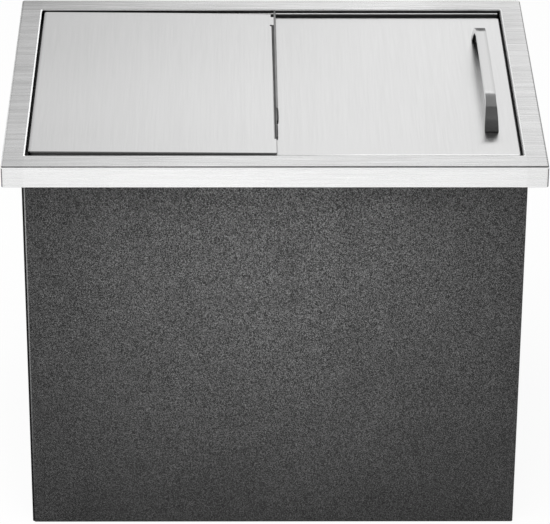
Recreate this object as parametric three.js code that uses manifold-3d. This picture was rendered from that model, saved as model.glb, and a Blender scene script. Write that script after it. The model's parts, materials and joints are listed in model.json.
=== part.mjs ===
// Drop-in ice bin: a stainless rim frame that hangs in a counter, an insulated tub below it
// and two lids that lie in the frame's recess, the lower one sliding under the upper one.
// Millimetres, +Z up, +X to the user's right, the user stands at -Y.
// The origin is the centre of the base's underside.
import * as THREE from 'three';
import { mergeVertices } from 'three/addons/utils/BufferGeometryUtils.js';
import Module from 'manifold-3d';

const wasm = await Module();
wasm.setup();

// Overall sizes
const rimWidth = 584;
const rimDepth = 431;
const rimTop = 461;

// Rim frame: its overhang past the casing and its flat border round the recess
const sideOverhang = 20.4;
const frontOverhang = 20;
const sideBorder = 25;
const frontBorder = 28.1;
const rimSheet = 1.2;
const skirtHeight = 25;
const skirtBend = 2.6;
const skirtCornerRadius = 3;
const hemWidth = 12;
const hemBend = 1.6;
const recessDrop = 14;
const recessBend = 1.6;
const recessCornerRadius = 2.4;
const ledgeWidth = 16;
const ledgeCornerRadius = 20;

// Rails on the ledge
const railSheet = 1.2;
const railEndGap = 3.5;
const backUpstandDrop = 3.3;
const frontRibDrop = 7.5;
const railSeatGap = 0.3;

// Lids
const lidSheet = 1;
const lidBend = 2;
const lidCornerRadius = 3.4;
const upperLidSideGap = 2.4;
const upperLidFrontGap = 10.2;
const upperLidBackGap = 3.5;
const upperLidDrop = 0.9;
const upperLidFall = 2.1;
const seamOffset = 2.6;
const lowerLidSideGap = 2.7;
const lowerLidFrontGap = 12;
const lowerLidBackGap = 9.4;
const lowerLidDrop = 5.9;
const lowerLidTuck = 16;

// Wiper strip, edge lip and corner notch along the seam
const wiperWidth = 2.5;
const wiperEndSetback = 34.5;
const wiperRubGap = 0.4;
const wiperTopDrop = 0.3;
const lipWidth = 2;
const lipThickness = 1.1;
const lipFrontSetback = 36;
const lipOverhang = 1.6;
const trimGap = 0.1;
const seamNotchWidth = 3;
const seamNotchLength = 10.5;

// Glides under the lids' front and back edges
const glideLength = 34;
const glidePad = 2.5;
const glideRunningGap = 0.2;
const glideLipThickness = 2.2;
const upperGlideLipThickness = 1.4;
const glideLipHeight = 2.6;
const glideEndSetback = 26;
const glideFitGap = 0.2;

// Bow handle
const handleFootWidth = 15.7;
const handleWaistWidth = 12;
const handleHalfLength = 120.5;
const handleTopSetback = 37.6;
const handleShoulderSetback = 19.2;
const handleShoulderDrop = 5.8;
const handleInnerShoulderSetback = 29.1;
const handleInnerShoulderDrop = 3.6;
const handleHeight = 29.2;
const handleThickness = 6;
const handleFootLength = 13;
const handleFlareLength = 27;
const handleEdgeSetback = 27.8;
const handleScrewSetback = 9.5;

// Handle screws and washers
const screwShankRadius = 2;
const screwHeadRadius = 4.2;
const screwHeadHeight = 2.8;
const screwHeadChamfer = 1.3;
const screwEngagement = 5;
const screwHoleGap = 0.35;
const washerRadius = 5.5;
const washerThickness = 1;

// Liner
const linerSheet = 1;
const linerFlangeWidth = 12.5;
const linerFlangeCorner = 6;
const floorDrainHeight = 44;
const floorFall = 10;
const floorBend = 12;
const drainLandRadius = 36;

// Casing
const casingSheet = 1;
const casingBend = 2.4;
const casingReturn = 15;
const casingSeamSetback = 2.4;
const casingTopGap = 0.3;
const baseFlangeHeight = 20;
const baseCorner = 3;

// Insulation
const bottomSlabDrop = 1.6;
const slabGap = 0.3;
const drainWellHalfWidth = 46;
const drainWellCorner = 6;

// Drain
const shankRadius = 16.6;
const drainBoreRadius = 12;
const drainSeatRadius = 15.5;
const drainSeatDepth = 9;
const shankReach = 38;
const drainHoleGap = 0.5;
const drainFlangeRadius = 33;
const drainFlangeThickness = 3;
const drainFlangeChamfer = 1.5;
const gasketThickness = 2;
const drainWasherRadius = 29;
const drainWasherThickness = 1.6;
const lockNutAcrossFlats = 46;
const lockNutHeight = 9;
const plugSeatGap = 0.3;
const plugProud = 1.2;
const plugKnobRadius = 7.5;
const plugNeckRadius = 4.5;
const plugNeckHeight = 5;
const plugKnobHeight = 7;
const plugKnobChamfer = 1.8;

// Shared clearance between large faces, and an overrun for cuts
const seatGap = 0.2;
const overrun = 2;

// Facets
const bendSteps = 5;
const cornerSteps = 5;
const roundSides = 40;
const smallestCorner = 0.3;

// Places worked out from the sizes above
const rimHalfX = rimWidth / 2;
const rimHalfY = rimDepth / 2;
const recessHalfX = rimHalfX - sideBorder;
const recessHalfY = rimHalfY - frontBorder;
const bodyHalfX = rimHalfX - sideOverhang;
const bodyHalfY = rimHalfY - frontOverhang;
const tubHalfX = recessHalfX - ledgeWidth;
const tubHalfY = recessHalfY - ledgeWidth;
const ledgeTop = rimTop - recessDrop;
const railTop = ledgeTop + railSheet;
const glideTop = railTop + glideRunningGap + glidePad;
const linerTop = ledgeTop - rimSheet - seatGap;
const casingInnerX = bodyHalfX - casingSheet;
const casingInnerY = bodyHalfY - casingSheet;
const lowerLidTop = rimTop - lowerLidDrop;
const floorEdgeHeight = floorDrainHeight + floorFall;

// Materials
const steel = (color, roughness) => new THREE.MeshStandardMaterial({ color, roughness, metalness: 1 });
const plain = (color, roughness) => new THREE.MeshStandardMaterial({ color, roughness, metalness: 0 });
const brushedSteel = steel(0xcfcfcf, 0.32);
const linerSteel = steel(0xc4c6c8, 0.38);
const handleSteel = steel(0xbdbdbd, 0.28);
const fastenerSteel = steel(0xa9abad, 0.4);
const casingBlack = plain(0x2b2b2b, 0.55);
const foam = plain(0xe9e4d2, 0.95);
const blackRubber = plain(0x1c1c1c, 0.8);
const greyVinyl = plain(0x8f9193, 0.6);
const nylon = plain(0xe6e6e0, 0.5);
const brass = steel(0xb08d4a, 0.4);

// One level of a loft: a rounded rectangle, counter-clockwise seen from above.
// slope lowers the level towards +X, in millimetres of height per millimetre of X.
function level(halfX, halfY, z, radius, centreX = 0, centreY = 0, slope = 0) {
  const corner = Math.max(Math.min(radius, halfX, halfY), smallestCorner);
  const signs = [[1, -1], [1, 1], [-1, 1], [-1, -1]];
  const points = [];
  signs.forEach(([signX, signY], quarter) => {
    const middleX = centreX + signX * (halfX - corner);
    const middleY = centreY + signY * (halfY - corner);
    for (let step = 0; step <= cornerSteps; step += 1) {
      const angle = (quarter - 1 + step / cornerSteps) * Math.PI / 2;
      const x = middleX + corner * Math.cos(angle);
      const y = middleY + corner * Math.sin(angle);
      points.push([x, y, z - slope * x]);
    }
  });
  return points;
}

// A skin over successive levels, listed so that the body lies inward of a falling wall.
// closed joins the last level to the first, otherwise both ends are capped flat.
function loft(levels, closed) {
  const count = levels[0].length;
  const positions = levels.flat(2);
  const index = [];
  const pairs = closed ? levels.length : levels.length - 1;
  for (let row = 0; row < pairs; row += 1) {
    const upper = row * count;
    const lower = ((row + 1) % levels.length) * count;
    for (let column = 0; column < count; column += 1) {
      const next = (column + 1) % count;
      index.push(upper + column, lower + column, lower + next);
      index.push(upper + column, lower + next, upper + next);
    }
  }
  if (!closed) {
    const last = (levels.length - 1) * count;
    for (let column = 1; column < count - 1; column += 1) {
      index.push(0, column, column + 1);
      index.push(last, last + column + 1, last + column);
    }
  }
  const geometry = new THREE.BufferGeometry();
  geometry.setAttribute('position', new THREE.Float32BufferAttribute(positions, 3));
  geometry.setIndex(index);
  return geometry;
}

// Insets and heights of a quarter bend, from a flat top (inset = radius) down to a wall (inset = 0).
function bendDown(radius) {
  return Array.from({ length: bendSteps + 1 }, (_, step) => {
    const angle = step / bendSteps * Math.PI / 2;
    return { inset: radius * (1 - Math.sin(angle)), drop: radius * (1 - Math.cos(angle)) };
  });
}

function outline(points) {
  return new THREE.Shape(points.map(([a, b]) => new THREE.Vector2(a, b)));
}

function extrude(shape, depth) {
  return new THREE.ExtrudeGeometry(shape, { depth, bevelEnabled: false, curveSegments: roundSides / 4 });
}

// A plan outline (x, y) raised from bottom to top.
function upright(shape, bottom, top) {
  return extrude(shape, top - bottom).translate(0, 0, bottom);
}

// A side outline (y, z) carried along X.
function alongX(shape, from, to) {
  const turn = new THREE.Matrix4().makeBasis(
    new THREE.Vector3(0, 1, 0),
    new THREE.Vector3(0, 0, 1),
    new THREE.Vector3(1, 0, 0),
  );
  return extrude(shape, to - from).applyMatrix4(turn).translate(from, 0, 0);
}

// A block given by its lowest and highest corners.
function block([x0, y0, z0], [x1, y1, z1]) {
  return new THREE.BoxGeometry(x1 - x0, y1 - y0, z1 - z0)
    .translate((x0 + x1) / 2, (y0 + y1) / 2, (z0 + z1) / 2);
}

// A turned part about the Z axis from (radius, z) points, listed upwards on the outside.
function turned(points, sides = roundSides) {
  const profile = points.map(([radius, z]) => new THREE.Vector2(radius, z));
  return new THREE.LatheGeometry(profile, sides).rotateX(Math.PI / 2);
}

function solid(geometry) {
  const bare = geometry.clone();
  bare.deleteAttribute('normal');
  bare.deleteAttribute('uv');
  const merged = mergeVertices(bare);
  return new wasm.Manifold(new wasm.Mesh({
    numProp: 3,
    vertProperties: new Float32Array(merged.attributes.position.array),
    triVerts: new Uint32Array(merged.index.array),
  }));
}

function surface(body) {
  const mesh = body.getMesh();
  const geometry = new THREE.BufferGeometry();
  geometry.setAttribute('position', new THREE.BufferAttribute(mesh.vertProperties, 3));
  geometry.setIndex(new THREE.BufferAttribute(mesh.triVerts, 1));
  return geometry;
}

function cut(geometry, ...tools) {
  return surface(tools.reduce((body, tool) => body.subtract(solid(tool)), solid(geometry)));
}

function piece(parent, name, geometry, material) {
  const mesh = new THREE.Mesh(geometry, material);
  mesh.name = name;
  parent.add(mesh);
  return mesh;
}

// Rim frame: one folded sheet with a skirt and hem outside, a recess and ledge inside
function rimFrame() {
  const outer = (inset, z) => level(rimHalfX - inset, rimHalfY - inset, z, skirtCornerRadius - inset);
  const inner = (offset, z, radius = recessCornerRadius + offset) => (
    level(recessHalfX + offset, recessHalfY + offset, z, radius));
  const hemLevel = rimTop - skirtHeight;
  const levels = [
    ...bendDown(recessBend).reverse().map(({ inset, drop }) => inner(inset, rimTop - drop)),
    ...bendDown(skirtBend).map(({ inset, drop }) => outer(inset, rimTop - drop)),
    ...bendDown(hemBend).reverse().map(({ inset, drop }) => outer(inset, hemLevel + drop)),
    outer(hemWidth, hemLevel),
    outer(hemWidth, hemLevel + rimSheet),
    outer(rimSheet, hemLevel + rimSheet),
    outer(rimSheet, rimTop - rimSheet),
    inner(rimSheet, rimTop - rimSheet),
    inner(rimSheet, ledgeTop - rimSheet),
    inner(-ledgeWidth, ledgeTop - rimSheet, ledgeCornerRadius),
    inner(-ledgeWidth, ledgeTop, ledgeCornerRadius),
    inner(0, ledgeTop),
  ];
  return loft(levels, true);
}

// Rails: strips on the ledge that the lids' glides run on
const railWallFace = recessHalfY - railSeatGap;
const railInnerFace = tubHalfY + railSeatGap;
const railHalfLength = recessHalfX - railEndGap;

function backRail() {
  const upstandInner = railWallFace - railSheet;
  const section = outline([
    [railInnerFace, ledgeTop],
    [railWallFace, ledgeTop],
    [railWallFace, rimTop - backUpstandDrop],
    [upstandInner, rimTop - backUpstandDrop],
    [upstandInner, railTop],
    [railInnerFace, railTop],
  ]);
  return alongX(section, -railHalfLength, railHalfLength);
}

const upperFlangeFront = -(recessHalfY - upperLidFrontGap);
const upperGlideFront = upperFlangeFront - glideFitGap - glideLipThickness;

function frontRail() {
  const ribInner = upperGlideFront - railSeatGap;
  const section = outline([
    [-railInnerFace, ledgeTop],
    [-railInnerFace, railTop],
    [ribInner, railTop],
    [ribInner, rimTop - frontRibDrop],
    [ribInner - railSheet, rimTop - frontRibDrop],
    [ribInner - railSheet, railTop],
    [-railWallFace, railTop],
    [-railWallFace, ledgeTop],
  ]);
  return alongX(section, -railHalfLength, railHalfLength);
}

// Lid pan: flat sheet with four downturned edges. slope lowers the top towards +X.
function lidPan({ x0, x1, y0, y1, top, slope = 0 }) {
  const centreX = (x0 + x1) / 2;
  const centreY = (y0 + y1) / 2;
  const halfX = (x1 - x0) / 2;
  const halfY = (y1 - y0) / 2;
  const at = (inset, z, tilt) => (
    level(halfX - inset, halfY - inset, z, lidCornerRadius - inset, centreX, centreY, tilt));
  return loft([
    ...bendDown(lidBend).map(({ inset, drop }) => at(inset, top - drop, slope)),
    at(0, glideTop, 0),
    at(lidSheet, glideTop, 0),
    at(lidSheet, top - lidSheet, slope),
  ], false);
}

// Upper lid: its right edge has no flange, so that the lower lid passes under it
const upperLid = {
  x0: -(recessHalfX - upperLidSideGap),
  x1: seamOffset + lidCornerRadius,
  y0: upperFlangeFront,
  y1: recessHalfY - upperLidBackGap,
  slope: upperLidFall / recessHalfX,
};
upperLid.top = rimTop - upperLidDrop - upperLidFall;
const upperLidUnderside = upperLid.top - lidSheet;
const wiperHalfSpan = (upperLid.y1 - upperLid.y0) / 2 - wiperEndSetback;
const lidMiddleY = (upperLid.y0 + upperLid.y1) / 2;
const wiperStart = seamOffset - wiperWidth;

function upperLidPanel() {
  const flangeCut = block(
    [seamOffset, upperLid.y0 - overrun, glideTop - overrun],
    [upperLid.x1 + overrun, upperLid.y1 + overrun, rimTop + overrun],
  );
  const wiperNotch = block(
    [wiperStart, lidMiddleY - wiperHalfSpan, glideTop - overrun],
    [seamOffset + overrun, lidMiddleY + wiperHalfSpan, rimTop + overrun],
  );
  const cornerNotch = block(
    [seamOffset - seamNotchWidth, upperLid.y1 - seamNotchLength, glideTop - overrun],
    [seamOffset + overrun, upperLid.y1 + overrun, rimTop + overrun],
  );
  return cut(lidPan(upperLid), flangeCut, wiperNotch, cornerNotch);
}

// Wiper strip in the notch of the upper lid's right edge, rubbing on the lower lid's top
function wiperStrip() {
  const top = upperLid.top - wiperTopDrop;
  const bottom = lowerLidTop + wiperRubGap;
  return block(
    [wiperStart + trimGap, lidMiddleY - wiperHalfSpan + trimGap, bottom],
    [seamOffset - trimGap, lidMiddleY + wiperHalfSpan - trimGap, top],
  );
}

// Grey edge lip beside the wiper, from near its front end to just past the lid's back edge
function edgeLip() {
  const top = upperLidUnderside + lipThickness / 2;
  return block(
    [seamOffset + trimGap, upperLid.y0 + lipFrontSetback, top - lipThickness],
    [seamOffset + trimGap + lipWidth, upperLid.y1 + lipOverhang, top],
  );
}

// Lower lid: its left end is tucked under the upper lid
const lowerLid = {
  x0: seamOffset - lowerLidTuck,
  x1: recessHalfX - lowerLidSideGap,
  y0: -(recessHalfY - lowerLidFrontGap),
  y1: recessHalfY - lowerLidBackGap,
  top: lowerLidTop,
};
const handleX = lowerLid.x1 - handleEdgeSetback;
const handleScrewY = handleHalfLength - handleScrewSetback;

function lowerLidPanel() {
  const hole = (y) => turned([
    [0, lowerLidTop - lidSheet - overrun],
    [screwShankRadius + screwHoleGap, lowerLidTop - lidSheet - overrun],
    [screwShankRadius + screwHoleGap, lowerLidTop + overrun],
    [0, lowerLidTop + overrun],
  ]).translate(handleX, y, 0);
  return cut(lidPan(lowerLid), hole(-handleScrewY), hole(handleScrewY));
}

// Glide: a pad under a flange's edge with a lip that stands beside the flange.
// side is +1 when the lip is on the flange's +Y side, -1 on its -Y side.
function glide(x, flangeFace, side, lip) {
  const lipNear = flangeFace + side * glideFitGap;
  const lipFar = lipNear + side * lip;
  const padNear = flangeFace - side * lidSheet;
  const padTop = glideTop - glideFitGap;
  const padBottom = railTop + glideRunningGap;
  const lipTop = glideTop + glideLipHeight;
  const points = [
    [padNear, padBottom],
    [lipFar, padBottom],
    [lipFar, lipTop],
    [lipNear, lipTop],
    [lipNear, padTop],
    [padNear, padTop],
  ];
  return alongX(outline(points), x - glideLength / 2, x + glideLength / 2);
}

// Bow handle: a side outline with two folds at each end, narrowed in plan between its feet
function bowHandle() {
  const topHalfLength = handleHalfLength - handleTopSetback;
  const shoulderHalfLength = handleHalfLength - handleShoulderSetback;
  const innerShoulderHalfLength = handleHalfLength - handleInnerShoulderSetback;
  const bottom = lowerLidTop;
  const top = bottom + handleHeight;
  const underside = top - handleThickness;
  const footInner = handleHalfLength - handleFootLength;
  const half = [
    [topHalfLength, top],
    [shoulderHalfLength, top - handleShoulderDrop],
    [handleHalfLength, bottom],
    [footInner, bottom],
    [innerShoulderHalfLength, underside - handleInnerShoulderDrop],
    [topHalfLength - handleThickness / 2, underside],
  ];
  const mirrored = half.map(([y, z]) => [-y, z]).reverse();
  const side = alongX(outline([...half, ...mirrored]), -handleFootWidth / 2, handleFootWidth / 2);
  const foot = handleFootWidth / 2;
  const waist = handleWaistWidth / 2;
  const flareStart = handleHalfLength - handleFlareLength;
  const plan = new THREE.Shape();
  plan.moveTo(foot, -handleHalfLength);
  plan.bezierCurveTo(
    foot - (foot - waist) / 2, -(handleHalfLength + flareStart) / 2,
    waist, -(handleHalfLength + flareStart) / 2,
    waist, -flareStart,
  );
  plan.lineTo(waist, flareStart);
  plan.bezierCurveTo(
    waist, (handleHalfLength + flareStart) / 2,
    foot - (foot - waist) / 2, (handleHalfLength + flareStart) / 2,
    foot, handleHalfLength,
  );
  plan.lineTo(-foot, handleHalfLength);
  plan.bezierCurveTo(
    -foot + (foot - waist) / 2, (handleHalfLength + flareStart) / 2,
    -waist, (handleHalfLength + flareStart) / 2,
    -waist, flareStart,
  );
  plan.lineTo(-waist, -flareStart);
  plan.bezierCurveTo(
    -waist, -(handleHalfLength + flareStart) / 2,
    -foot + (foot - waist) / 2, -(handleHalfLength + flareStart) / 2,
    -foot, -handleHalfLength,
  );
  const planBlock = upright(plan, bottom - overrun, top + overrun);
  const bored = [-handleScrewY, handleScrewY].map((y) => turned([
    [0, bottom - overrun],
    [screwShankRadius + screwHoleGap, bottom - overrun],
    [screwShankRadius + screwHoleGap, bottom + screwEngagement + screwHoleGap],
    [0, bottom + screwEngagement + screwHoleGap],
  ]).translate(0, y, 0));
  const bow = surface(solid(side).intersect(solid(planBlock)));
  return cut(bow, ...bored).translate(handleX, 0, 0);
}

// Handle screw: pan head under the washer, shank up into the handle's foot
function handleScrew(y) {
  const headTop = lowerLidTop - lidSheet - washerThickness - seatGap;
  return turned([
    [0, headTop - screwHeadHeight],
    [screwHeadRadius - screwHeadChamfer, headTop - screwHeadHeight],
    [screwHeadRadius, headTop - screwHeadHeight + screwHeadChamfer],
    [screwHeadRadius, headTop],
    [screwShankRadius, headTop],
    [screwShankRadius, lowerLidTop + screwEngagement],
    [0, lowerLidTop + screwEngagement],
  ], roundSides / 2).translate(handleX, y, 0);
}

function ring(innerRadius, outerRadius, bottom, top) {
  return turned([
    [innerRadius, bottom],
    [outerRadius, bottom],
    [outerRadius, top],
    [innerRadius, top],
    [innerRadius, bottom],
  ]);
}

// Liner: the tub, hung by its flange under the ledge, with a floor that falls to the drain
const drainHoleRadius = shankRadius + drainHoleGap;

function liner() {
  const wall = (offset, z) => level(tubHalfX + offset, tubHalfY + offset, z, ledgeCornerRadius + offset);
  const flangeHalfX = tubHalfX + linerFlangeWidth;
  const flangeHalfY = tubHalfY + linerFlangeWidth;
  const circle = (radius, z) => level(radius, radius, z, radius);
  const cove = bendDown(floorBend);
  const coveLevels = (offset, shift) => cove.map(({ inset, drop }) => (
    wall(offset - inset, floorEdgeHeight + shift + drop)));
  return loft([
    level(flangeHalfX, flangeHalfY, linerTop, linerFlangeCorner),
    level(flangeHalfX, flangeHalfY, linerTop - linerSheet, linerFlangeCorner),
    wall(linerSheet, linerTop - linerSheet),
    ...coveLevels(linerSheet, -linerSheet).reverse(),
    circle(drainLandRadius, floorDrainHeight - linerSheet),
    circle(drainHoleRadius, floorDrainHeight - linerSheet),
    circle(drainHoleRadius, floorDrainHeight),
    circle(drainLandRadius, floorDrainHeight),
    ...coveLevels(0, 0),
    wall(0, linerTop),
  ], true);
}

// Casing sheet: one long wall and one end wall bent from a single sheet, with a short return
// behind the neighbouring sheet. The same sheet turned half round makes the other two walls.
function casingSheetSolid() {
  const top = rimTop - rimSheet - casingTopGap;
  const seamX = -(bodyHalfX - casingSeamSetback);
  const returnY = bodyHalfY - casingSheet - seatGap;
  const returnX = bodyHalfX - casingReturn;
  const shape = new THREE.Shape();
  const inBend = casingBend - casingSheet;
  shape.moveTo(seamX, -bodyHalfY);
  shape.lineTo(bodyHalfX - casingBend, -bodyHalfY);
  shape.absarc(bodyHalfX - casingBend, -bodyHalfY + casingBend, casingBend, -Math.PI / 2, 0, false);
  shape.lineTo(bodyHalfX, returnY - casingBend);
  shape.absarc(bodyHalfX - casingBend, returnY - casingBend, casingBend, 0, Math.PI / 2, false);
  shape.lineTo(returnX, returnY);
  shape.lineTo(returnX, returnY - casingSheet);
  shape.lineTo(bodyHalfX - casingBend, returnY - casingSheet);
  shape.absarc(bodyHalfX - casingBend, returnY - casingBend, inBend, Math.PI / 2, 0, true);
  shape.lineTo(casingInnerX, -bodyHalfY + casingBend);
  shape.absarc(bodyHalfX - casingBend, -bodyHalfY + casingBend, inBend, 0, -Math.PI / 2, true);
  shape.lineTo(seamX, -casingInnerY);
  return upright(shape, 0, top);
}

// Base plate: a tray inside the casing and its returns, with a square opening under the drain
const baseHalfX = casingInnerX - seatGap;
const baseHalfY = casingInnerY - seatGap - casingSheet - seatGap;
const wellLevel = (z) => level(drainWellHalfWidth, drainWellHalfWidth, z, drainWellCorner);

function casingBase() {
  const wall = (inset, z) => level(baseHalfX - inset, baseHalfY - inset, z, baseCorner - inset);
  return loft([
    wall(casingSheet, baseFlangeHeight),
    wall(0, baseFlangeHeight),
    wall(0, 0),
    wellLevel(0),
    wellLevel(casingSheet),
    wall(casingSheet, casingSheet),
  ], true);
}

// Insulation slabs
const slabOuterX = baseHalfX - casingSheet - slabGap;
const slabOuterY = baseHalfY - casingSheet - slabGap;
const slabFloor = floorEdgeHeight - linerSheet - bottomSlabDrop;
const slabCeiling = linerTop - linerSheet - slabGap;
const slabInnerX = tubHalfX + linerSheet + slabGap;
const slabInnerY = tubHalfY + linerSheet + slabGap;

function bottomSlab() {
  const wellTop = floorDrainHeight - linerSheet - bottomSlabDrop;
  const underTub = (z) => level(slabInnerX, slabInnerY, z, ledgeCornerRadius);
  const outerWall = (z) => level(slabOuterX, slabOuterY, z, baseCorner);
  return loft([
    wellLevel(wellTop),
    underTub(slabFloor),
    outerWall(slabFloor),
    outerWall(casingSheet + slabGap),
    wellLevel(casingSheet + slabGap),
  ], true);
}

function sideSlab(sign) {
  const near = sign * slabInnerX;
  const far = sign * slabOuterX;
  return block(
    [Math.min(near, far), -slabOuterY, slabFloor + slabGap],
    [Math.max(near, far), slabOuterY, slabCeiling],
  );
}

function endSlab(sign) {
  const near = sign * slabInnerY;
  const far = sign * slabOuterY;
  const halfX = slabInnerX - slabGap;
  return block(
    [-halfX, Math.min(near, far), slabFloor + slabGap],
    [halfX, Math.max(near, far), slabCeiling],
  );
}

// Drain
const shankFoot = floorDrainHeight - shankReach;
const gasketBottom = floorDrainHeight + seatGap;
const gasketTop = gasketBottom + gasketThickness;
const drainFlangeBottom = gasketTop + seatGap;
const drainFlangeTop = drainFlangeBottom + drainFlangeThickness;
const drainWasherTop = floorDrainHeight - linerSheet - seatGap;
const drainWasherBottom = drainWasherTop - drainWasherThickness;
const lockNutTop = drainWasherBottom - seatGap;

function drainFlange() {
  return turned([
    [drainBoreRadius, shankFoot],
    [shankRadius, shankFoot],
    [shankRadius, drainFlangeBottom],
    [drainFlangeRadius, drainFlangeBottom],
    [drainFlangeRadius, drainFlangeTop - drainFlangeChamfer],
    [drainFlangeRadius - drainFlangeChamfer, drainFlangeTop],
    [drainSeatRadius, drainFlangeTop],
    [drainBoreRadius, drainFlangeTop - drainSeatDepth],
    [drainBoreRadius, shankFoot],
  ]);
}

function lockNut() {
  const corners = 6;
  const cornerRadius = lockNutAcrossFlats / 2 / Math.cos(Math.PI / corners);
  const shape = outline(Array.from({ length: corners }, (_, corner) => {
    const angle = corner / corners * 2 * Math.PI;
    return [cornerRadius * Math.cos(angle), cornerRadius * Math.sin(angle)];
  }));
  const bore = new THREE.Path();
  bore.absarc(0, 0, drainHoleRadius, 0, 2 * Math.PI, true);
  shape.holes.push(bore);
  return upright(shape, lockNutTop - lockNutHeight, lockNutTop);
}

function drainPlug() {
  const taper = (drainSeatRadius - drainBoreRadius) / drainSeatDepth;
  const bottom = drainFlangeTop - drainSeatDepth + plugSeatGap;
  const bottomRadius = drainBoreRadius - plugSeatGap;
  const rimRadius = drainSeatRadius - plugSeatGap;
  const neckTop = drainFlangeTop + plugProud + plugNeckHeight;
  const knobTop = neckTop + plugKnobHeight;
  return turned([
    [0, bottom],
    [bottomRadius, bottom],
    [rimRadius, drainFlangeTop],
    [rimRadius + taper * plugProud, drainFlangeTop + plugProud],
    [plugNeckRadius, drainFlangeTop + plugProud],
    [plugNeckRadius, neckTop],
    [plugKnobRadius, neckTop + plugKnobChamfer],
    [plugKnobRadius, knobTop - plugKnobChamfer],
    [plugNeckRadius, knobTop],
    [0, knobTop],
  ]);
}

// Assembly
const bin = new THREE.Group();
const upperLidGroup = new THREE.Group();
const lowerLidGroup = new THREE.Group();
const model = new THREE.Group();
model.add(bin, upperLidGroup, lowerLidGroup);

piece(bin, 'rim_frame', rimFrame(), brushedSteel);
piece(bin, 'rail_back', backRail(), brushedSteel);
piece(bin, 'rail_front', frontRail(), brushedSteel);
piece(bin, 'liner', liner(), linerSteel);
piece(bin, 'insulation_bottom', bottomSlab(), foam);
piece(bin, 'insulation_left', sideSlab(-1), foam);
piece(bin, 'insulation_right', sideSlab(1), foam);
piece(bin, 'insulation_front', endSlab(-1), foam);
piece(bin, 'insulation_back', endSlab(1), foam);
piece(bin, 'casing_front_right', casingSheetSolid(), casingBlack);
piece(bin, 'casing_back_left', casingSheetSolid(), casingBlack).rotation.z = Math.PI;
piece(bin, 'casing_base', casingBase(), casingBlack);
piece(bin, 'drain_flange', drainFlange(), brass);
piece(bin, 'drain_gasket', ring(drainHoleRadius, drainFlangeRadius, gasketBottom, gasketTop), blackRubber);
piece(bin, 'drain_washer', ring(drainHoleRadius, drainWasherRadius, drainWasherBottom, drainWasherTop), nylon);
piece(bin, 'drain_lock_nut', lockNut(), brass);
piece(model, 'drain_plug', drainPlug(), blackRubber);

piece(upperLidGroup, 'upper_lid_panel', upperLidPanel(), brushedSteel);
piece(upperLidGroup, 'upper_lid_wiper', wiperStrip(), blackRubber);
piece(upperLidGroup, 'upper_lid_edge_lip', edgeLip(), greyVinyl);
piece(lowerLidGroup, 'lower_lid_panel', lowerLidPanel(), brushedSteel);
piece(lowerLidGroup, 'handle', bowHandle(), handleSteel);

const corners = [
  ['front_left', 0, -1],
  ['front_right', 1, -1],
  ['back_left', 0, 1],
  ['back_right', 1, 1],
];
for (const [place, right, side] of corners) {
  const upperX = right ? -glideEndSetback : upperLid.x0 + glideEndSetback;
  const upperFace = side < 0 ? upperLid.y0 : upperLid.y1;
  const upperLip = side < 0 ? glideLipThickness : upperGlideLipThickness;
  piece(upperLidGroup, `upper_glide_${place}`, glide(upperX, upperFace, side, upperLip), nylon);
  const lowerX = right ? lowerLid.x1 - glideEndSetback : lowerLid.x0 + glideEndSetback;
  const lowerFace = side < 0 ? lowerLid.y0 + lidSheet : lowerLid.y1 - lidSheet;
  piece(lowerLidGroup, `lower_glide_${place}`, glide(lowerX, lowerFace, -side, glideLipThickness), nylon);
}

const washerTop = lowerLidTop - lidSheet;
for (const [place, side] of [['front', -1], ['back', 1]]) {
  const y = side * handleScrewY;
  const washer = ring(screwShankRadius + screwHoleGap, washerRadius, washerTop - washerThickness, washerTop);
  piece(lowerLidGroup, `handle_washer_${place}`, washer.translate(handleX, y, 0), fastenerSteel);
  piece(lowerLidGroup, `handle_screw_${place}`, handleScrew(y), fastenerSteel);
}

export default model;
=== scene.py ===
import json
import math

import bmesh
import bpy
from mathutils import Matrix, Vector

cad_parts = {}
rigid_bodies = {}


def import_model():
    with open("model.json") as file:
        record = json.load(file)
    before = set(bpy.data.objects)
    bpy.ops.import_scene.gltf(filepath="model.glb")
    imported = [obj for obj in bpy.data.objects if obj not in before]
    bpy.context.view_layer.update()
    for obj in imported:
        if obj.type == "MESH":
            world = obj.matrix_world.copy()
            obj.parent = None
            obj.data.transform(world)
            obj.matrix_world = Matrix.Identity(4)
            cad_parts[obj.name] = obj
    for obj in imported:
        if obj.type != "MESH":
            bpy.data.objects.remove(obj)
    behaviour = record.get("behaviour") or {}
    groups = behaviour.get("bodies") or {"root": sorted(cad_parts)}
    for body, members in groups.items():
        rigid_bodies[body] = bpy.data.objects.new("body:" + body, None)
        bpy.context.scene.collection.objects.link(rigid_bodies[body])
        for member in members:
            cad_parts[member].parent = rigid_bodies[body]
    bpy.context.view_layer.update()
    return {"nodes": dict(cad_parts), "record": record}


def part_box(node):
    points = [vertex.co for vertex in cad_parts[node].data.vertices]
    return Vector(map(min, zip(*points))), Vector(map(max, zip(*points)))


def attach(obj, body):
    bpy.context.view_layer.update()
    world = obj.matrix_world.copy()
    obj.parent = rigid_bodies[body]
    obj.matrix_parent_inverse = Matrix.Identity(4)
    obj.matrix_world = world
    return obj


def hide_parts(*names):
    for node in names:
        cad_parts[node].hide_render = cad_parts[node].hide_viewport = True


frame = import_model()
nodes = frame["nodes"]

MM = 0.001

# Fineness of bends and corners
BEND_STEPS = 10
CORNER_STEPS = 12
LEAST_CORNER = 0.3 * MM
FOLD_STEPS = 10
BOSS_STEPS = 32
STRIP_STEPS = 4
SHEET_SMOOTHING = math.radians(32)
HANDLE_SMOOTHING = math.radians(40)

# Rounding of the solids that keep their shape
SOFT_WIDTH = 0.25 * MM
SOFT_ANGLE = math.radians(35)

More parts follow.
